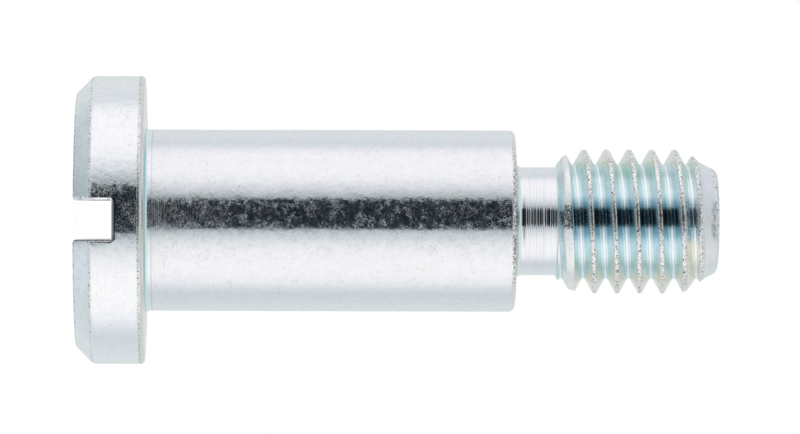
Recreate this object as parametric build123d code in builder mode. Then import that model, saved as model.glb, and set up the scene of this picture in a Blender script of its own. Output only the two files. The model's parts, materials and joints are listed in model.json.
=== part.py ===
"""Slotted pan head shoulder bolt with an M8 x 1.25 thread, turned from one bar.

Millimetres. +Z runs along the axis, from the head to the thread's point. The origin is
the centre of the head's flat top, on which the bolt stands.
"""

import os
from math import radians, tan

from build123d import *

# Head: a flat-topped cylinder with a wide chamfer and a driver slot across it
head_radius = 7.94
head_height = 3.77
head_chamfer = 0.95
slot_width = 2.1
slot_depth = 2.1
slot_break = 0.25  # rounds the slot's edges where it opens out

# Shoulder: the ground journal that a lever or a roller turns on
shoulder_radius = 5.0
shoulder_length = 20.37
shoulder_fillet = 0.3  # under the head

# Shank: a neck, so that the shoulder's end can seat, then the thread
neck_radius = 2.975
neck_length = 2.12
neck_fillet = 0.45
shank_length = 11.21  # from the shoulder to the end of the point
edge_break = 0.2  # on the turned edges of the head's rim, the shoulder and the point

# Thread: ISO metric profile, right-handed
thread_radius = 3.97
root_radius = 3.15
root_flat = 0.15
pitch = 1.25
flank_angle = 30  # from a plane square to the axis
groove_reach = 4.0  # outer radius of the cutter, just past the crests
groove_start = 25.44  # height of the groove's middle over +X, round the neck
groove_turns = 8.8  # carries the groove past the end of the point

# Ends of the thread: the crest builds up over the first turn and fades along the point
lead_in_length = 0.4
lead_in_radius = 3.65
full_crest_length = 1.65  # from the neck to the first full crest
point_angle = 31  # from the axis
point_radius = 2.74

# Heights along the axis
shoulder_end = head_height + shoulder_length
thread_start = shoulder_end + neck_length
bolt_end = shoulder_end + shank_length
point_start = bolt_end - (thread_radius - point_radius) / tan(radians(point_angle))

groove_mouth = root_flat / 2 + (groove_reach - root_radius) * tan(radians(flank_angle))

with BuildPart() as bolt:
    # Shank, turned to the thread's outer diameter
    with BuildSketch(Plane.XZ) as shank_section:
        with BuildLine():
            Polyline(
                (0, shoulder_end),
                (neck_radius, shoulder_end),
                (neck_radius, thread_start),
                (lead_in_radius, thread_start + lead_in_length),
                (thread_radius, thread_start + full_crest_length),
                (thread_radius, point_start),
                (point_radius, bolt_end),
                (0, bolt_end),
                close=True,
            )
        make_face()
        point_corner = shank_section.vertices().sort_by_distance((point_radius, bolt_end))[0]
        chamfer(point_corner, edge_break)
    revolve(axis=Axis.Z)

    # Thread groove, cut along a helix that starts in the air round the neck
    with BuildLine(mode=Mode.PRIVATE) as groove_path:
        Helix(pitch, groove_turns * pitch, thread_radius, center=(0, 0, groove_start))
    with BuildSketch(Plane.XZ):
        with BuildLine():
            Polyline(
                (root_radius, groove_start - root_flat / 2),
                (groove_reach, groove_start - groove_mouth),
                (groove_reach, groove_start + groove_mouth),
                (root_radius, groove_start + root_flat / 2),
                close=True,
            )
        make_face()
    sweep(path=groove_path.wires()[0], is_frenet=True, mode=Mode.SUBTRACT)

    # Head and shoulder
    with BuildSketch(Plane.XZ) as head_section:
        with BuildLine():
            Polyline(
                (0, 0),
                (head_radius - head_chamfer, 0),
                (head_radius, head_chamfer),
                (head_radius, head_height),
                (shoulder_radius, head_height),
                (shoulder_radius, shoulder_end),
                (0, shoulder_end),
                close=True,
            )
        make_face()
        corners = head_section.vertices()
        rim_corner = corners.sort_by_distance((head_radius, head_height))[0]
        root_corner = corners.sort_by_distance((shoulder_radius, head_height))[0]
        end_corner = corners.sort_by_distance((shoulder_radius, shoulder_end))[0]
        chamfer([rim_corner, end_corner], edge_break)
        fillet(root_corner, shoulder_fillet)
    revolve(axis=Axis.Z)
    neck_corner = bolt.edges().sort_by_distance((neck_radius, 0, shoulder_end))[0]
    fillet(neck_corner, neck_fillet)

    # Driver slot, sawn straight across the head along Y
    with BuildSketch(Plane.XZ):
        Rectangle(slot_width, 2 * slot_depth)
    extrude(amount=2 * head_radius, both=True, mode=Mode.SUBTRACT)
    # Every edge of its two walls is rounded, except where they meet the floor
    wall_edges = bolt.faces().filter_by(Axis.X).edges().sort_by(Axis.Z)
    fillet(wall_edges[:-2], slot_break)

bolt.part.label = "shoulder_bolt"
os.makedirs("parts", exist_ok=True)
export_step(bolt.part, "parts/shoulder_bolt.step")
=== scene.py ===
import json
from math import atan2, cos, hypot, pi, radians, tan

import bmesh
import bpy
from mathutils import Matrix, Vector


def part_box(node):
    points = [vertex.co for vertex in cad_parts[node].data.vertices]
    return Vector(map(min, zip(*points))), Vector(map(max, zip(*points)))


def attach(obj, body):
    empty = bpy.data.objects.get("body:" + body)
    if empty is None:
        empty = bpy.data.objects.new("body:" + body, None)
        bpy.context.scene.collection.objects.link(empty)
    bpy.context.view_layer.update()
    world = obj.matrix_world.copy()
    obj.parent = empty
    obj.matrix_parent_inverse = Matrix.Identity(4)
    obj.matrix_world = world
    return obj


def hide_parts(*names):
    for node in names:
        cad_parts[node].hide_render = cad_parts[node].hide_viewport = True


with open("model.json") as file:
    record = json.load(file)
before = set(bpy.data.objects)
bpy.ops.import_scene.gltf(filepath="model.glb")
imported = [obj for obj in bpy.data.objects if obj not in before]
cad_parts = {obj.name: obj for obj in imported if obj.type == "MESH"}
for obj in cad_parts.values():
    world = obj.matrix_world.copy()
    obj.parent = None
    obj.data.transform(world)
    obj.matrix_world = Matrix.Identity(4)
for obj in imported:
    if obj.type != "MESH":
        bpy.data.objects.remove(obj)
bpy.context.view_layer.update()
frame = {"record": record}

mm = 0.001

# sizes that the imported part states, in millimetres
mounts = {mount["name"]: mount for mount in frame["record"]["mounts"]}
nodeLow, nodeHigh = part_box("shoulder_bolt")
headRadius = nodeHigh.y / mm
boltEnd = nodeHigh.z / mm
headHeight = mounts["bearing_face"]["pos_m"][2] / mm
shoulderEnd = mounts["shoulder_seat"]["pos_m"][2] / mm
shoulderRadius = mounts["shoulder"]["dims"]["r_mm"]
print("frame loaded: head", round(2 * headRadius, 2), "mm across, bolt", round(boltEnd, 2), "mm long")


# shapes are made in millimetres, and the finished bolt is scaled to metres

def drawOutline(bm, corners, segments=5):
    # a chain in the XZ plane; a corner is (radius, height, reach of its rounding)
    verts = [bm.verts.new((radius, 0, height)) for radius, height, reach in corners]
    for near, far in zip(verts, verts[1:]):
        bm.edges.new((near, far))
    for vert, (radius, height, reach) in zip(verts, corners):
        if reach:
            bmesh.ops.bevel(bm, geom=[vert], offset=reach, segments=segments, profile=0.5,
                            affect="VERTICES", material=-1)


def turnOutline(corners, steps, segments=5):
    bm = bmesh.new()
    drawOutline(bm, corners, segments)
    bmesh.ops.spin(bm, geom=bm.verts[:] + bm.edges[:], cent=(0, 0, 0), axis=(0, 0, 1),
                   angle=2 * pi, steps=steps, use_merge=True)
    bmesh.ops.remove_doubles(bm, verts=bm.verts, dist=0.001)
    return bm


def addShape(bm, other):
    mesh = bpy.data.meshes.new("shapeInHand")
    other.to_mesh(mesh)
    other.free()
    bm.from_mesh(mesh)
    bpy.data.meshes.remove(mesh)


def openLoop(bm, height, slack=0.002):
    return [edge for edge in bm.edges if edge.is_boundary
            and all(abs(vert.co.z - height) < slack for vert in edge.verts)]


def alongStations(stations, height):
    # radius at a height, straight between the stations
    for (lowHeight, lowRadius), (highHeight, highRadius) in zip(stations, stations[1:]):
        if height <= highHeight:
            share = max(0.0, (height - lowHeight) / (highHeight - lowHeight))
            return lowRadius + share * (highRadius - lowRadius)
    return stations[-1][1]


def softMin(one, other, blend):
    near = max(0.0, blend - abs(one - other)) / blend
    return min(one, other) - near * near * blend / 4


# head, shoulder and neck
turned = {
    "steps": 192,
    "headChamfer": 0.95, "headCorner": 0.11, "wallCorner": 0.18, "rimCorner": 0.21,
    "rootFillet": 0.3, "shoulderCorner": 0.35,
    "neckRadius": 2.975, "neckEnd": 26.37, "neckFillet": 0.42,
    "collarRadius": 3.1, "collarEnd": 26.42,
}


def makeTurnedBody():
    t = turned
    return turnOutline([
        (0, 0, 0),
        (headRadius - t["headChamfer"], 0, t["headCorner"]),
        (headRadius, t["headChamfer"], t["wallCorner"]),
        (headRadius, headHeight, t["rimCorner"]),
        (shoulderRadius, headHeight, t["rootFillet"]),
        (shoulderRadius, shoulderEnd, t["shoulderCorner"]),
        (t["neckRadius"], shoulderEnd, t["neckFillet"]),
        (t["neckRadius"], t["neckEnd"], 0),
        (t["collarRadius"], t["collarEnd"], 0),
    ], t["steps"])


# driver slot, sawn straight across the head along Y
slot = {"halfWidth": 1.05, "depth": 2.1, "rimRounding": 0.22, "floorRounding": 0.12}


def cutSlot(bm):
    half, depth = slot["halfWidth"], slot["depth"]

    def headGeometry(height):
        faces = [face for face in bm.faces if face.calc_center_median().z < height]
        edges = {edge for face in faces for edge in face.edges}
        verts = {vert for face in faces for vert in face.verts}
        return faces + list(edges) + list(verts)

    bmesh.ops.bisect_plane(bm, geom=headGeometry(headHeight - 0.5), dist=0.0001,
                           plane_co=(0, 0, depth), plane_no=(0, 0, 1))
    for side in (-1, 1):
        bmesh.ops.bisect_plane(bm, geom=headGeometry(depth), dist=0.0001,
                               plane_co=(side * half, 0, 0), plane_no=(1, 0, 0))
    sawn = [face for face in bm.faces
            if face.calc_center_median().z < depth and abs(face.calc_center_median().x) < half]
    bmesh.ops.delete(bm, geom=sawn, context="FACES")

    # the flat top becomes two faces, and the wall's narrow strips beside the slot become one,
    # which leaves room to round the rim
    def nearSlot(vert):
        return half + 0.001 < abs(vert.co.x) < half + 0.35 and vert.co.z < depth + 0.001

    def alongWall(edge):
        near, far = (vert.co for vert in edge.verts)
        return abs(near.x * far.y - near.y * far.x) < 0.001

    flat = [edge for edge in bm.edges if len(edge.link_faces) == 2
            and all(face.calc_center_median().z < 0.0001 for face in edge.link_faces)]
    strips = [edge for edge in bm.edges if edge not in flat and len(edge.link_faces) == 2
              and all(nearSlot(vert) for vert in edge.verts) and alongWall(edge)]
    bmesh.ops.dissolve_edges(bm, edges=flat + strips, use_verts=True)

    rim = []
    for side in (-1, 1):
        chain = [edge for edge in bm.edges if edge.is_boundary
                 and all(abs(vert.co.x - side * half) < 0.001 and vert.co.z < depth + 0.001
                         for vert in edge.verts)]
        foot = [vert for vert in {vert for edge in chain for vert in edge.verts}
                if abs(vert.co.z - depth) < 0.001]
        floorLine = bm.edges.new(foot)
        bmesh.ops.contextual_create(bm, geom=chain + [floorLine])
        rim += chain
    floorEdges = [edge for edge in bm.edges if edge.is_boundary and all(
        abs(vert.co.z - depth) < 0.001 and abs(vert.co.x) < half + 0.001 for vert in edge.verts)]
    bmesh.ops.contextual_create(bm, geom=floorEdges)
    ends = [edge for edge in floorEdges if abs(edge.verts[0].co.y - edge.verts[1].co.y) < 1]
    bmesh.ops.recalc_face_normals(bm, faces=bm.faces)
    bmesh.ops.bevel(bm, geom=rim + ends, offset=slot["rimRounding"], segments=5, profile=0.5,
                    affect="EDGES", material=-1, clamp_overlap=False)
    floorLines = [edge for edge in bm.edges if edge.calc_length() > headRadius
                  and all(abs(vert.co.z - depth) < 0.001 for vert in edge.verts)]
    print("slot cut:", len(sawn), "faces sawn out,", len(floorLines), "floor lines")
    bmesh.ops.bevel(bm, geom=floorLines, offset=slot["floorRounding"], segments=3, profile=0.5,
                    affect="EDGES", material=-1)


# thread, rolled along the shank: one pitch of its outline is carried up a helix
thread = {
    "pitch": 1.25, "majorRadius": 3.97, "rootRadius": 3.15, "rootFlat": 0.15, "flankAngle": 29.3,
    "cornerReach": 0.07, "flankCuts": 9, "grooveHeight": 25.44, "stepsPerTurn": 160, "turns": 9,
    # outer radius of the blank along the axis: run-in by the neck, and the point
    "blank": [(26.37, 2.98), (26.42, 3.1), (26.48, 3.21), (26.8, 3.6), (27.21, 3.76), (27.87, 3.95),
              (28.6, 4.1),
              (33.0, 4.1), (33.2, 3.93), (33.55, 3.73), (34.0, 3.48), (34.48, 3.2), (34.97, 2.95),
              (35.15, 2.85)],
    "start": 26.44, "end": 35.13, "blend": 0.06,
    # rolling raises the metal beside the last groove: how far above the point's cone,
    # from where and over what width
    "burr": 0.12, "burrStart": 0.43, "burrWidth": 0.34, "burrBlend": 0.18,
    "endRadius": 2.73, "endCorner": 0.2, "endDome": 0.05,
    "pointStart": 33.15, "crestsEnd": 33.7,  # heights
}


def makeThread():
    t = thread
    bm = bmesh.new()
    slope = tan(radians(t["flankAngle"]))
    depth = t["majorRadius"] - t["rootRadius"]
    first = t["grooveHeight"] - t["pitch"]
    footing, shoulder = t["rootFlat"] / 2, t["rootFlat"] / 2 + depth * slope
    drawOutline(bm, [
        (t["rootRadius"], first, 0),
        (t["rootRadius"], first + footing, t["cornerReach"]),
        (t["majorRadius"], first + shoulder, t["cornerReach"]),
        (t["majorRadius"], first + t["pitch"] - shoulder, t["cornerReach"]),
        (t["rootRadius"], first + t["pitch"] - footing, t["cornerReach"]),
        (t["rootRadius"], first + t["pitch"], 0),
    ], segments=4)
    flanks = [edge for edge in bm.edges if edge.calc_length() > depth / 2]
    bmesh.ops.subdivide_edges(bm, edges=flanks, cuts=t["flankCuts"])
    bmesh.ops.spin(bm, geom=bm.verts[:] + bm.edges[:], cent=(0, 0, 0), axis=(0, 0, 1),
                   dvec=(0, 0, t["pitch"] / t["stepsPerTurn"]), angle=2 * pi, steps=t["stepsPerTurn"])
    oneTurn = bm.verts[:] + bm.edges[:] + bm.faces[:]
    for turn in range(1, t["turns"]):
        copied = bmesh.ops.duplicate(bm, geom=oneTurn)["geom"]
        bmesh.ops.translate(bm, vec=(0, 0, turn * t["pitch"]),
                            verts=[part for part in copied if isinstance(part, bmesh.types.BMVert)])
    bmesh.ops.remove_doubles(bm, verts=bm.verts, dist=0.002)
    # the crests only fill out as far as the blank reaches
    for vert in bm.verts:
        radius = hypot(vert.co.x, vert.co.y)
        onPoint = min(1.0, max(0.0, (vert.co.z - 33.0) / 0.3))
        fromRoot = (vert.co.z - t["grooveHeight"] - t["pitch"] * atan2(vert.co.y,
                vert.co.x) / (2 * pi)) % t["pitch"]
        slump = min(1.0, max(0.0, (fromRoot - t["burrStart"]) / t["burrWidth"])) * min(1.0,
                max(0.0, (vert.co.z - t["crestsEnd"]) / 0.15))
        outer = alongStations(t["blank"], vert.co.z)
        burr = t["burr"] * (1 - slump) ** 2 * min(1.0, max(0.0, (outer - t["rootRadius"]) / 0.12))
        outer += onPoint * burr
        kept = softMin(radius, outer, t["blend"] + onPoint * (t["burrBlend"] - t["blend"]))
        vert.co.x *= kept / radius
        vert.co.y *= kept / radius
    for height, direction in ((t["start"], 1), (t["end"], -1)):
        bmesh.ops.bisect_plane(bm, geom=bm.verts[:] + bm.edges[:] + bm.faces[:], dist=0.0001,
                               plane_co=(0, 0, height), plane_no=(0, 0, direction), clear_inner=True)
    print("thread rolled:", len(bm.faces), "faces")
    return bm


def makeBolt():
    bm = makeTurnedBody()
    cutSlot(bm)
    addShape(bm, makeThread())
    point = turnOutline([
        (alongStations(thread["blank"], thread["end"]) - 0.01, thread["end"] + 0.02, 0),
        (thread["endRadius"], boltEnd - thread["endDome"], thread["endCorner"]),
        (0, boltEnd, 0),
    ], thread["stepsPerTurn"])
    addShape(bm, point)
    bmesh.ops.bridge_loops(bm, edges=openLoop(bm, turned["collarEnd"]) + openLoop(bm, thread["start"]))
    bmesh.ops.bridge_loops(bm, edges=openLoop(bm, thread["end"]) + openLoop(bm, thread["end"] + 0.02))
    bmesh.ops.recalc_face_normals(bm, faces=bm.faces)
    openEdges = [edge for edge in bm.edges if not edge.is_manifold]
    print("bolt joined up:", len(bm.faces), "faces,", len(openEdges), "open edges, volume",
          round(bm.calc_volume(signed=True)), "cubic mm")
    footRadius = thread["majorRadius"] - thread["cornerReach"] * cos(radians(thread["flankAngle"]))
    crestFeet = {edge for edge in bm.edges
                 if all(vert.co.z > headHeight and abs(hypot(vert.co.x, vert.co.y) - footRadius) < 0.002
                        for vert in edge.verts)}
    # smooth all round, apart from real corners and the line where a flank meets its crest
    for face in bm.faces:
        face.smooth = True
    for edge in bm.edges:
        edge.smooth = edge.calc_face_angle(0) < radians(40) and edge not in crestFeet
    bmesh.ops.scale(bm, vec=(mm, mm, mm), verts=bm.verts)
    mesh = bpy.data.meshes.new("shoulderBolt")
    bm.to_mesh(mesh)
    bm.free()
    piece = bpy.data.objects.new("shoulderBolt", mesh)
    bpy.context.scene.collection.objects.link(piece)
    return piece


bolt = makeBolt()
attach(bolt, "root")
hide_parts("shoulder_bolt")


# materials are worked out in millimetres from the bolt's own coordinates

def node(tree, kind, **settings):
    made = tree.nodes.new("ShaderNode" + kind)
    for name, value in settings.items():
        setattr(made, name, value)
    return made


def feed(tree, socket, value):
    if isinstance(value, bpy.types.NodeSocket):
        tree.links.new(value, socket)
    else:
        socket.default_value = value


def calc(tree, operation, *values):
    made = node(tree, "Math", operation=operation)
    for socket, value in zip(made.inputs, values):
        feed(tree, socket, value)
    return made.outputs[0]


def add(tree, *values):
    total = values[0]
    for value in values[1:]:
        total = calc(tree, "ADD", total, value)
    return total


def times(tree, *values):
    total = values[0]
    for value in values[1:]:
        total = calc(tree, "MULTIPLY", total, value)
    return total


def rise(tree, value, low, high):
    # 0 up to low, 1 from high on; the other way round where low is the higher
    made = node(tree, "MapRange", interpolation_type="SMOOTHSTEP")
    feed(tree, made.inputs["Value"], value)
    flipped = low > high
    made.inputs["From Min"].default_value = min(low, high)
    made.inputs["From Max"].default_value = max(low, high)
    made.inputs["To Min"].default_value = 1 if flipped else 0
    made.inputs["To Max"].default_value = 0 if flipped else 1
    return made.outputs["Result"]


def within(tree, value, low, high, soft):
    return times(tree, rise(tree, value, low - soft, low + soft), rise(tree, value, high + soft, high - soft))


def mixColour(tree, share, first, second, way="MIX"):
    made = node(tree, "Mix", data_type="RGBA", blend_type=way)
    feed(tree, made.inputs[0], share)
    feed(tree, made.inputs[6], first if isinstance(first, bpy.types.NodeSocket) else first + (1,))
    feed(tree, made.inputs[7], second if isinstance(second, bpy.types.NodeSocket) else second + (1,))
    return made.outputs[2]


def grain(tree, vector, scale, detail=2.0, roughness=0.5, offset=0.0):
    made = node(tree, "TexNoise", noise_dimensions="3D")
    shifted = node(tree, "VectorMath", operation="ADD")
    feed(tree, shifted.inputs[0], vector)
    shifted.inputs[1].default_value = (offset, 1.7 * offset, 2.3 * offset)
    feed(tree, made.inputs["Vector"], shifted.outputs[0])
    made.inputs["Scale"].default_value = scale
    made.inputs["Detail"].default_value = detail
    made.inputs["Roughness"].default_value = roughness
    return made.outputs["Fac"]


def lines(tree, along, scale, detail=2.0):
    made = node(tree, "TexNoise", noise_dimensions="1D")
    feed(tree, made.inputs["W"], along)
    made.inputs["Scale"].default_value = scale
    made.inputs["Detail"].default_value = detail
    made.inputs["Roughness"].default_value = 0.65
    return made.outputs["Fac"]


plate = {
    # colours of the plating where it lies plain, and where it has taken on a tint or worn, and darker colours
    # put in as painted shade and painted reflection
    "zinc": (0.905, 0.91, 0.93), "beige": (0.78, 0.70, 0.60), "chamfer": (0.87, 0.91, 0.92),
    "rim": (0.80, 0.785, 0.75), "dirtAndPaintedShade": (0.22, 0.16, 0.12), "fillet": (0.38, 0.73, 0.72),
    # the darkest colour, painted shade by the slot, on the neck and on the wide crest
    "paintedShade": (0.13, 0.12, 0.12),
    "flankBlue": (0.785, 0.882, 0.912), "flankPaintedShade": (0.55, 0.71, 0.77),
    "flankGreen": (0.645, 0.80, 0.77), "flankStraw": (0.875, 0.85, 0.74),
    "root": (0.95, 0.97, 0.98), "crest": (0.98, 0.97, 0.96), "point": (0.86, 0.875, 0.89),
    "paintedPointReflection": (0.34, 0.37, 0.36), "crestPaintedShade": (0.74, 0.71, 0.68), "runIn": (0.60, 0.79, 0.82),
    "runInPaintedShade": (0.22, 0.38, 0.44),
    # relief in millimetres, each with its scale per millimetre
    "skin": (13, 0.0012), "specks": (21, 0.0008), "dashes": (16, 0.0010), "dents": (2.8, 0.009),
    "grit": (10, 0.012),
    "turning": (62, 0.006), "rolling": (19, 0.0024),
    "roughness": 0.022, "haze": 0.12, "speckRoughness": 0.07, "bloomAndPaintedLight": 0.46, "flankRoughness": 0.04,
    "wornRoughness": 0.22, "crestRoughness": 0.24,
}


def plating():
    p = plate
    material = bpy.data.materials.new("zincPlate")
    material.use_nodes = True
    tree = material.node_tree
    links = tree.links
    shader = tree.nodes["Principled BSDF"]

    place = node(tree, "VectorMath", operation="SCALE")
    feed(tree, place.inputs[0], node(tree, "TexCoord").outputs["Object"])
    place.inputs["Scale"].default_value = 1000
    spot = place.outputs[0]
    parts = node(tree, "SeparateXYZ")
    feed(tree, parts.inputs[0], spot)
    x, y, z = parts.outputs
    flatSpot = node(tree, "VectorMath", operation="MULTIPLY")
    feed(tree, flatSpot.inputs[0], spot)
    flatSpot.inputs[1].default_value = (1, 1, 0)
    length = node(tree, "VectorMath", operation="LENGTH")
    feed(tree, length.inputs[0], flatSpot.outputs[0])
    radius = length.outputs["Value"]

    # where a place lies across the thread's groove: 0 in the root, half a pitch on the crest
    climb = times(tree, calc(tree, "ARCTAN2", y, x), thread["pitch"] / (2 * pi))
    across = add(tree, calc(tree, "FRACT", times(tree, add(
        tree, z, times(tree, climb, -1), -thread["grooveHeight"], thread["pitch"] / 2),
        1 / thread["pitch"])), -0.5)
    fromRoot = times(tree, calc(tree, "ABSOLUTE", across), thread["pitch"])
    steepness = 1 / tan(radians(thread["flankAngle"]))
    fullRadius = calc(tree, "MINIMUM", thread["majorRadius"], add(
        tree, thread["rootRadius"] - thread["rootFlat"] / 2 * steepness, times(tree, fromRoot, steepness)))
    shortfall = add(tree, fullRadius, times(tree, radius, -1))

    # irregular edges to the worn places
    fine = grain(tree, spot, p["grit"][0], 3.0, 0.7, 3.1)
    broken = grain(tree, spot, 3.5, 3.0, 0.7, 6.4)
    cloud = grain(tree, spot, 0.9, 3.0, 0.6, 7.7)
    ragged = times(tree, add(tree, fine, -0.5), 0.12)
    raggedHeight = add(tree, z, ragged)

    # where each finish lies, 0 to 1
    onThread = rise(tree, z, turned["collarEnd"] - 0.05, turned["collarEnd"])
    onNeck = times(tree, rise(tree, z, shoulderEnd + 0.42, shoulderEnd + 0.5),
                   rise(tree, z, turned["neckEnd"] + 0.02, turned["neckEnd"]))
    plain = rise(tree, z, shoulderEnd + 0.1, shoulderEnd)
    cut = rise(tree, shortfall, 0.03, 0.07)
    pointFace = times(tree, rise(tree, z, thread["pointStart"], thread["pointStart"] + 0.15), cut)
    land = times(tree, cut, within(tree, z, 26.72, 33, 0.04))
    onCrest = rise(tree, add(tree, fromRoot, times(tree, ragged, 0.5)), 0.5, 0.515)
    belowPoint = rise(tree, z, thread["crestsEnd"] + 0.3, thread["crestsEnd"])
    crest = calc(tree, "MAXIMUM", land, times(tree, onThread, belowPoint, onCrest))
    flank = times(tree, onThread, rise(tree, calc(tree, "MAXIMUM", crest, pointFace), 1, 0))
    outside = rise(tree, radius, headRadius - 0.45, headRadius - 0.25)
    rim = times(tree, rise(tree, raggedHeight, headHeight - 0.31, headHeight - 0.25), outside)
    chamfer = times(tree, rise(tree, z, turned["headChamfer"], turned["headChamfer"] - 0.1),
                    rise(tree, z, 0.0, 0.05),
                    rise(tree, add(tree, radius, times(tree, z, -1)),
                         headRadius - turned["headChamfer"] - 0.12,
                         headRadius - turned["headChamfer"] - 0.05))
    fromSlot = calc(tree, "ABSOLUTE", x)
    seatEdge = times(tree, rise(tree, raggedHeight, shoulderEnd - 0.34, shoulderEnd - 0.16),
                     rise(tree, radius, shoulderRadius - 0.5, shoulderRadius - 0.3),
                     rise(tree, z, shoulderEnd + 0.1, shoulderEnd), rise(tree, fromSlot, 7.0, 1.0))
    slotEdge = times(tree, within(tree, fromSlot, slot["halfWidth"], slot["halfWidth"] + 0.2, 0.03),
                     rise(tree, z, slot["depth"] + 0.1, slot["depth"]),
                     rise(tree, broken, 0.42, 0.55))
    raggedWall = add(tree, z, times(tree, add(tree, fine, -0.5), 0.24))
    wallStrip = within(tree, raggedWall, turned["headChamfer"] - 0.11, turned["headChamfer"] - 0.01, 0.02)
    wallEdge = times(tree, wallStrip, outside, rise(tree, broken, 0.34, 0.44))
    worn = calc(tree, "MAXIMUM", calc(tree, "MAXIMUM", rim, slotEdge), calc(tree, "MAXIMUM", crest, seatEdge))
    # where the last crest runs out in the point's cone, and the point's end
    raggedMore = times(tree, add(tree, fine, broken, -1.0), 0.35)
    runOut = times(tree, rise(tree, z, thread["pointStart"], thread["pointStart"] + 0.15),
                   rise(tree, across, 0.02, 0.06), rise(tree, add(tree, shortfall, ragged), -0.02, 0.02),
                   rise(tree, add(tree, shortfall, raggedMore), 0.62, 0.5))
    pointEnd = times(tree, rise(tree, raggedHeight, boltEnd - 0.16, boltEnd - 0.1),
                     rise(tree, radius, 2.3, 2.45), rise(tree, broken, 0.36, 0.46))
    headEdge = times(tree, rise(tree, z, 0.11, 0.07),
                     rise(tree, radius, headRadius - turned["headChamfer"] - 0.2,
                          headRadius - turned["headChamfer"] - 0.1),
                     rise(tree, broken, 0.36, 0.46))
    worn = calc(tree, "MAXIMUM", calc(tree, "MAXIMUM", worn, times(tree, wallEdge, 0.8)),
                calc(tree, "MAXIMUM", calc(tree, "MAXIMUM", runOut, headEdge), pointEnd))
    rings = add(tree, times(tree, within(tree, z, headHeight + 0.03, headHeight + 0.1, 0.02),
                            rise(tree, radius, shoulderRadius + 0.5, shoulderRadius + 0.35)),
                times(tree, within(tree, z, headHeight + 0.4, headHeight + 0.46, 0.03), 0.6),
                times(tree, within(tree, z, shoulderEnd + 0.02, shoulderEnd + 0.14, 0.04),
                      rise(tree, radius, 3.7, 3.5), 0.7))
    lowerHead = times(tree, rise(tree, z, headHeight - 0.1, headHeight - 0.25), rise(tree, x, -1.5, 1.0))
    turnedHard = add(tree, onNeck,
                     times(tree, rise(tree, z, headHeight + 3.4, headHeight + 0.6),
                           rise(tree, z, headHeight + 0.2, headHeight + 0.4), 0.22),
                     times(tree, lowerHead, 0.1), 0.02)

    # relief
    wander = times(tree, lines(tree, z, 1.5), 9.0)
    strength = rise(tree, lines(tree, z, 7), 0.25, 0.6)
    turningWave = times(tree, calc(tree, "SINE", add(tree, times(tree, z, p["turning"][0]), wander)),
                        strength)
    turning = times(tree, turningWave, turnedHard, p["turning"][1])
    angleSpot = node(tree, "VectorMath", operation="NORMALIZE")
    feed(tree, angleSpot.inputs[0], flatSpot.outputs[0])
    streakSpot = node(tree, "CombineXYZ")
    streakParts = node(tree, "SeparateXYZ")
    feed(tree, streakParts.inputs[0], angleSpot.outputs[0])
    feed(tree, streakSpot.inputs[0], streakParts.outputs[0])
    feed(tree, streakSpot.inputs[1], streakParts.outputs[1])
    feed(tree, streakSpot.inputs[2], times(tree, across, 24.0))
    streak = grain(tree, streakSpot.outputs[0], 1.3, 4.0, 0.6, 2.6)
    rollingGrain = grain(tree, spot, p["rolling"][0], 3.0, 0.6, 0.7)
    rolled = times(tree, flank, add(tree, times(tree, streak, 0.003),
                                    times(tree, rollingGrain, p["rolling"][1])))
    headDents = times(tree, rise(tree, z, headHeight, headHeight - 0.3), rise(tree, x, 0.5, -0.5), 0.6)
    cloudDents = times(tree, rise(tree, x, 1.5, -1.5), rise(tree, cloud, 0.35, 0.6), 0.75)
    dentSpread = times(tree, plain, add(tree, 0.25, headDents, cloudDents))
    dents = times(tree, grain(tree, spot, p["dents"][0], 2.0, 0.5, 5.0), dentSpread, p["dents"][1])
    skin = times(tree, grain(tree, spot, p["skin"][0], 2.0, 0.6, 1.0),
                 add(tree, 0.2, times(tree, plain, rise(tree, cloud, 0.3, 0.65))), p["skin"][1])
    patches = add(tree, 0.4, times(tree, rise(tree, grain(tree, spot, 1.5, 3.0, 0.6, 13.1), 0.42, 0.6), 0.9))
    cluster = times(tree, add(tree, 0.15, rise(tree, broken, 0.36, 0.6)), patches)
    speckled = times(tree, rise(tree, grain(tree, spot, p["specks"][0], 4.0, 0.7, 2.0), 0.48, 0.6), cluster,
                     add(tree, plain, times(tree, flank, 0.3)))
    specks = times(tree, speckled, p["specks"][1])
    dashSpot = node(tree, "CombineXYZ")
    feed(tree, dashSpot.inputs[0], times(tree, streakParts.outputs[0], 18.0))
    feed(tree, dashSpot.inputs[1], times(tree, streakParts.outputs[1], 18.0))
    feed(tree, dashSpot.inputs[2], times(tree, z, p["dashes"][0]))
    strokeSpot = node(tree, "CombineXYZ")
    feed(tree, strokeSpot.inputs[0], times(tree, streakParts.outputs[0], 9.0))
    feed(tree, strokeSpot.inputs[1], times(tree, streakParts.outputs[1], 9.0))
    feed(tree, strokeSpot.inputs[2], times(tree, z, 20.0))
    dashed = times(tree, rise(tree, grain(tree, dashSpot.outputs[0], 1.0, 2.0, 0.6, 6.0), 0.48, 0.62), plain,
                   rise(tree, z, headHeight + 6.0, headHeight + 1.0),
                   rise(tree, z, headHeight, headHeight + 0.3))
    dashes = times(tree, dashed, p["dashes"][1])
    grit = times(tree, fine, worn, p["grit"][1])
    relief = add(tree, turning, rolled, dents, skin, specks, dashes, grit)
    bump = node(tree, "Bump")
    bump.inputs["Distance"].default_value = mm
    feed(tree, bump.inputs["Height"], relief)
    links.new(bump.outputs[0], shader.inputs["Normal"])

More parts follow.
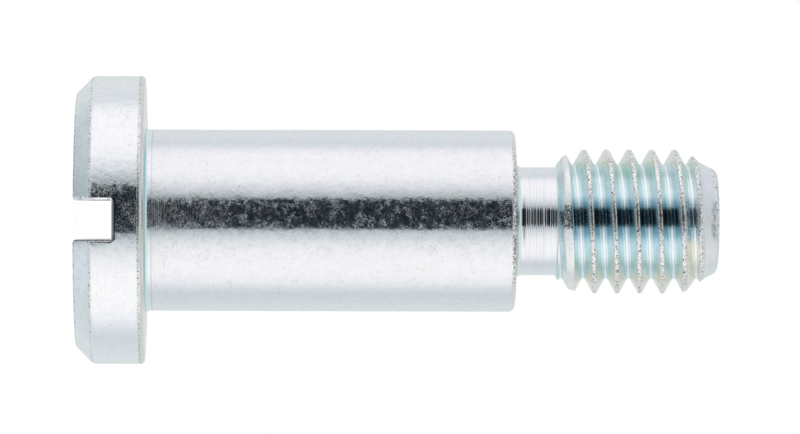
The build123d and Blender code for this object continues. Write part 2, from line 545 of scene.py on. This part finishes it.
    # colour
    greener = times(tree, rise(tree, grain(tree, spot, 0.7, 2.0, 0.5, 8.2), 0.34, 0.52),
                    rise(tree, fromSlot, 1.6, 2.8))
    flankColour = mixColour(tree, greener, p["flankBlue"], p["flankGreen"])
    towardsEdge = calc(tree, "MAXIMUM", x, add(tree, times(tree, x, -1), -0.5))
    straw = times(tree, rise(tree, add(tree, towardsEdge, times(tree, broken, 1.5)), 3.0, 4.1),
                  rise(tree, fromRoot, 0.12, 0.3))
    flankColour = mixColour(tree, straw, flankColour, p["flankStraw"])
    late = times(tree, rise(tree, z, 33.3, 33.6), rise(tree, x, 0.5, 1.0), 0.8)
    flankColour = mixColour(tree, late, flankColour, p["flankStraw"])
    # darker blue near the bolt's middle plane, front and back: painted shade beside the dark reflection,
    # which doesn't follow the light
    middle = add(tree, calc(tree, "ABSOLUTE", add(tree, x, 0.1)),
                 times(tree, add(tree, streak, -0.5), 0.9), times(tree, add(tree, fine, -0.5), 0.5))
    flankColour = mixColour(tree, rise(tree, middle, 1.5, 0.8), flankColour, p["flankPaintedShade"])
    # teal on the run-in by the neck, darker near the middle plane, where the darker part is painted shade
    runIn = times(tree, rise(tree, z, 27.15, 26.95), rise(tree, across, 0.06, -0.04))
    flankColour = mixColour(tree, runIn, flankColour,
                            mixColour(tree, rise(tree, middle, 1.2, 0.5), p["runIn"], p["runInPaintedShade"]))
    rootLine = times(tree, rise(tree, fromRoot, 0.085, 0.06), 0.75)
    flankColour = mixColour(tree, rootLine, flankColour, p["root"])
    plainColour = mixColour(tree, chamfer, p["zinc"], p["chamfer"])
    stain = times(tree, rise(tree, grain(tree, spot, 4.5, 4.0, 0.65, 9.3), 0.57, 0.66),
                  rise(tree, cloud, 0.42, 0.6), plain)
    plainColour = mixColour(tree, times(tree, stain, 0.5), plainColour, p["beige"])
    plainColour = mixColour(tree, pointFace, plainColour, p["point"])
    # a dark patch by the point's end, on the -Y side near the middle plane: painted reflection of the
    # studio's dark part
    paintedPointReflection = times(tree, within(tree, add(tree, x, times(tree, broken, 0.8)), -0.6, 1.3, 0.3),
                   rise(tree, y, -1, -2),
                   within(tree, z, boltEnd - 0.5, boltEnd - 0.12, 0.08),
                   rise(tree, grain(tree, strokeSpot.outputs[0], 1.0, 3.0, 0.7, 3.3), 0.46, 0.56))
    plainColour = mixColour(tree, paintedPointReflection, plainColour, p["paintedPointReflection"])
    # a dark band at the start of the neck near the middle plane: painted reflection of the studio's dark part
    # in the fillet
    neckReflectionPlace = add(tree, z, times(tree, ragged, 0.5))
    paintedNeckReflection = times(tree, within(tree, neckReflectionPlace, shoulderEnd + 0.38, shoulderEnd + 0.5, 0.05),
                      rise(tree, add(tree, fromSlot, times(tree, broken, 0.8)), 2.0, 1.0), 0.65)
    plainColour = mixColour(tree, paintedNeckReflection, plainColour, p["paintedShade"])
    plainColour = mixColour(tree, rings, plainColour, p["fillet"])
    colour = mixColour(tree, flank, plainColour, flankColour)
    mottle = times(tree, add(tree, grain(tree, spot, 2.2, 4.0, 0.6, 11.5), -0.5),
                   add(tree, 0.12, times(tree, chamfer, 0.2)))
    turnedFaintly = calc(tree, "MAXIMUM", lowerHead,
                         times(tree, rise(tree, z, headHeight + 3.4, headHeight + 0.6), plain))
    # tone from mottle, turned lines and flank streaks; the head is made lighter by 5 per cent, which is
    # painted light
    shade = add(tree, 1.0, mottle, times(tree, turningWave, turnedHard, 0.07),
                times(tree, turningWave, turnedFaintly, 0.035),
                times(tree, rise(tree, z, headHeight, headHeight - 0.3), 0.05),
                times(tree, add(tree, streak, -0.5), flank, 0.5))
    toneAndPaintedLight = node(tree, "VectorMath", operation="SCALE")
    feed(tree, toneAndPaintedLight.inputs[0], colour)
    feed(tree, toneAndPaintedLight.inputs["Scale"], shade)
    wornAndShadedColour = mixColour(tree, times(tree, rim, 0.6), p["crest"], p["rim"])
    underHead = times(tree, rise(tree, z, headHeight - 0.05, headHeight - 0.02),
                      rise(tree, z, headHeight + 0.1, headHeight + 0.02),
                      rise(tree, radius, shoulderRadius + 0.35, shoulderRadius + 0.45))
    # crests near the middle plane, apart from the wide crest, where painted shade is put
    nearMiddle = times(tree, crest, rise(tree, land, 1, 0), rise(tree, middle, 1.1, 0.3))
    # dark specks of dirt on the worn places, spread more on crests near the middle plane, where they are
    # painted shade
    pittingAndShade = add(tree, fine, times(tree, nearMiddle, -0.02), times(tree, seatEdge, -0.05))
    spread = add(tree, broken, times(tree, calc(tree, "MAXIMUM", nearMiddle, seatEdge), 0.1))
    rimCleaner = add(tree, 1.0, times(tree, rim, rise(tree, z, headHeight - 0.21, headHeight - 0.13), -0.75))
    dirtAndPaintedShade = times(tree, rise(tree, pittingAndShade, 0.47, 0.41), rise(tree, spread, 0.34, 0.48),
                 rise(tree, underHead, 1, 0), add(tree, 1.0, times(tree, land, -0.85)), rimCleaner)
    # a dark line along one wall of the slot's mouth and one on the head's wall under the slot's floor:
    # painted shade
    alongRim = times(tree, within(tree, x, slot["halfWidth"] + 0.02, slot["halfWidth"] + 0.1, 0.02),
                     rise(tree, z, slot["depth"] + 0.05, slot["depth"]),
                     rise(tree, radius, 6.6, 6.8), rise(tree, broken, 0.28, 0.36))
    belowFloor = times(tree, within(tree, z, slot["depth"] + 0.07, slot["depth"] + 0.24, 0.02),
                       rise(tree, fromSlot, slot["halfWidth"] + 0.1, slot["halfWidth"]),
                       rise(tree, radius, headRadius - 0.3, headRadius - 0.24))
    paintedShade = calc(tree, "MAXIMUM", alongRim, belowFloor)
    # crests near the middle plane are darker: painted shade
    wornAndShadedColour = mixColour(tree, nearMiddle, wornAndShadedColour, p["crestPaintedShade"])
    # a dark block on the wide crest by the neck: painted shade, a dark reflection put in the colour
    fromBlock = add(tree, calc(tree, "ABSOLUTE", add(tree, x, 0.25)), times(tree, fine, 0.3))
    landShade = times(tree, land, rise(tree, fromBlock, 0.86, 0.7), rise(tree, fine, 0.62, 0.5))
    wornAndShadedColour = mixColour(tree, times(tree, landShade, 0.93), wornAndShadedColour, p["paintedShade"])
    wornAndShadedColour = mixColour(tree, dirtAndPaintedShade, wornAndShadedColour, p["dirtAndPaintedShade"])
    colour = mixColour(tree, worn, toneAndPaintedLight.outputs[0], wornAndShadedColour)
    colour = mixColour(tree, underHead, colour, p["rim"])
    colour = mixColour(tree, times(tree, paintedShade, 0.85), colour, p["paintedShade"])
    links.new(colour, shader.inputs["Base Color"])
    striped = times(tree, rise(tree, turningWave, 0.0, 0.6),
                    within(tree, z, headHeight + 0.35, headHeight + 1.2, 0.1), 0.7)
    flecks = calc(tree, "MAXIMUM", calc(tree, "MAXIMUM", speckled, striped), times(tree, dashed, 0.6))
    # the flecks are stronger near the middle plane: painted light, pale flecks in the dark reflection
    paintedLightNearPlane = add(tree, 0.4, times(tree, rise(tree, fromSlot, 2.6, 1.4), 0.6))
    bloomAndPaintedLight = times(tree, flecks, plain, rise(tree, worn, 1, 0), paintedLightNearPlane, p["bloomAndPaintedLight"])
    metallic = add(tree, 1.0, times(tree, bloomAndPaintedLight, -1), times(tree, stain, -0.1), times(tree, worn, dirtAndPaintedShade, -0.3))
    links.new(metallic, shader.inputs["Metallic"])

    # gloss
    haze = times(tree, rise(tree, grain(tree, spot, 7.0, 3.0, 0.65, 9.0), 0.5, 0.75),
                 rise(tree, cloud, 0.4, 0.65))
    grainy = calc(tree, "MAXIMUM", speckled, times(tree, dashed, 0.8))
    dull = add(tree, p["roughness"], times(tree, haze, plain, p["haze"]),
               times(tree, grainy, p["speckRoughness"]), times(tree, flank, p["flankRoughness"]),
               times(tree, worn, p["wornRoughness"]),
               times(tree, crest, p["crestRoughness"] - p["wornRoughness"]),
               times(tree, land, -0.12), times(tree, pointFace, 0.15))
    links.new(dull, shader.inputs["Roughness"])
    return material


bolt.data.materials.append(plating())
print("plating made")


# studio: lights round the bolt as seen in the metal, degrees from the camera's side and colour there
studio = {
    "byAngle": [
        (-180, (0.72, 0.76, 0.76)), (-140, (0.72, 0.77, 0.79)), (-122, (0.68, 0.73, 0.76)),
        (-108, (0.64, 0.70, 0.73)),
        (-98, (0.72, 0.77, 0.80)), (-86, (0.90, 0.92, 0.94)), (-76, (0.98, 0.98, 0.99)), (-60, (1, 1, 1)),
        (-42, (0.97, 0.97, 0.98)), (-30, (0.87, 0.88, 0.89)), (-22, (0.70, 0.74, 0.76)),
        (-12, (0.50, 0.57, 0.59)),
        (-10, (0.015, 0.028, 0.036)), (0, (0.006, 0.014, 0.022)), (14, (0.006, 0.012, 0.018)),
        (27, (0.012, 0.024, 0.03)),
        (29.5, (0.40, 0.45, 0.46)), (41, (0.70, 0.74, 0.77)), (53, (0.93, 0.93, 0.95)), (66, (0.99, 0.99, 1)),
        (90, (0.99, 0.98, 1)), (98, (0.95, 0.94, 0.96)), (109, (0.76, 0.80, 0.84)), (116, (0.71, 0.75, 0.79)),
        (132, (0.745, 0.785, 0.81)), (160, (0.72, 0.76, 0.76)), (180, (0.72, 0.76, 0.76)),
    ],
    # towards the head's end and the point's end, by the world's X
    "below": [(-0.6, (0.60, 0.66, 0.68)), (-0.47, (0.58, 0.63, 0.66)), (-0.32, (0.49, 0.55, 0.57)),
              (-0.17, (0.40, 0.46, 0.48)),
              (0, (0.50, 0.55, 0.57)), (0.2, (0.68, 0.72, 0.76)), (0.35, (0.71, 0.75, 0.80)),
              (0.5, (0.66, 0.71, 0.73))],
    "above": [(-0.8, (0.70, 0.74, 0.77)), (-0.6, (0.68, 0.72, 0.77)), (-0.27, (0.61, 0.66, 0.69)),
              (0, (0.62, 0.64, 0.64)),
              (0.31, (0.67, 0.71, 0.72)), (0.7, (0.78, 0.80, 0.81)), (0.8, (0.74, 0.75, 0.75))],
}


def colourBand(tree, value, low, high, stops):
    # colours at values from low to high
    share = node(tree, "MapRange")
    feed(tree, share.inputs["Value"], value)
    share.inputs["From Min"].default_value = low
    share.inputs["From Max"].default_value = high
    band = node(tree, "ValToRGB")
    marks = band.color_ramp.elements
    while len(marks) < len(stops):
        marks.new(0.5)
    for mark, (reading, colour) in zip(marks, stops):
        mark.position = (reading - low) / (high - low)
        mark.color = colour + (1,)
    feed(tree, band.inputs[0], share.outputs[0])
    return band.outputs[0]


def lightWorld():
    world = bpy.data.worlds.new("studioWorld")
    bpy.context.scene.world = world
    world.use_nodes = True
    tree = world.node_tree
    tree.nodes.clear()
    split = node(tree, "SeparateXYZ")
    feed(tree, split.inputs[0], node(tree, "TexCoord").outputs["Generated"])
    x, y, z = split.outputs
    angle = calc(tree, "ARCTAN2", times(tree, x, -1), times(tree, y, -1))
    ring = colourBand(tree, times(tree, angle, 180 / pi), -180, 180, studio["byAngle"])
    # towards the two ends of the bolt the light evens out
    below = colourBand(tree, x, -0.6, 0.6, studio["below"])
    above = colourBand(tree, x, -0.8, 0.8, studio["above"])
    ends = mixColour(tree, rise(tree, z, -0.1, 0.1), below, above)
    both = mixColour(tree, rise(tree, calc(tree, "ABSOLUTE", z), 0.4, 0.75), ring, ends)
    seen = node(tree, "LightPath").outputs["Is Camera Ray"]
    light = node(tree, "Background")
    feed(tree, light.inputs["Color"], mixColour(tree, seen, both, (1, 1, 1)))
    out = node(tree, "OutputWorld")
    feed(tree, out.inputs["Surface"], light.outputs[0])


lightWorld()


def makeFloor():
    bm = bmesh.new()
    bmesh.ops.create_grid(bm, x_segments=8, y_segments=8, size=2.0)
    bmesh.ops.translate(bm, verts=bm.verts, vec=(0, 0, nodeLow.z - 0.00001))
    mesh = bpy.data.meshes.new("studioFloor")
    bm.to_mesh(mesh)
    bm.free()
    floor = bpy.data.objects.new("studioFloor", mesh)
    bpy.context.scene.collection.objects.link(floor)
    floor.visible_glossy = False
    material = bpy.data.materials.new("paleFloor")
    material.use_nodes = True
    tree = material.node_tree
    tree.nodes.clear()
    diffuse = node(tree, "BsdfDiffuse")
    diffuse.inputs["Color"].default_value = (0.25, 0.25, 0.25, 1)
    glow = node(tree, "Emission")
    glow.inputs["Strength"].default_value = 0.92
    lit = node(tree, "AddShader")
    tree.links.new(diffuse.outputs[0], lit.inputs[0])
    tree.links.new(glow.outputs[0], lit.inputs[1])
    unlit = node(tree, "BsdfDiffuse")
    unlit.inputs["Color"].default_value = (0.8, 0.8, 0.8, 1)
    seen = node(tree, "LightPath")
    mix = node(tree, "MixShader")
    tree.links.new(seen.outputs["Is Camera Ray"], mix.inputs[0])
    tree.links.new(unlit.outputs[0], mix.inputs[1])
    tree.links.new(lit.outputs[0], mix.inputs[2])
    out = node(tree, "OutputMaterial")
    tree.links.new(mix.outputs[0], out.inputs["Surface"])
    mesh.materials.append(material)


makeFloor()

# camera: level with the lower half of the bolt and turned on its side, with a long lens
camera = {"place": (-0.22, -355, 12.25), "aim": (-0.211, 0, 17.82), "roll": 90.18, "lens": 289.6}


def placeCamera():
    data = bpy.data.cameras.new("studioCamera")
    data.lens = camera["lens"]
    data.sensor_width = 36
    data.clip_start = 0.01
    data.clip_end = 20
    eye = bpy.data.objects.new("studioCamera", data)
    bpy.context.scene.collection.objects.link(eye)
    place, aim = Vector(camera["place"]) * mm, Vector(camera["aim"]) * mm
    look = (aim - place).to_track_quat("-Z", "Y").to_matrix()
    eye.matrix_world = Matrix.Translation(place) @ (look @ Matrix.Rotation(radians(camera["roll"]), 3,
            "Z")).to_4x4()
    bpy.context.scene.camera = eye


placeCamera()
bpy.context.scene.view_settings.view_transform = "Standard"
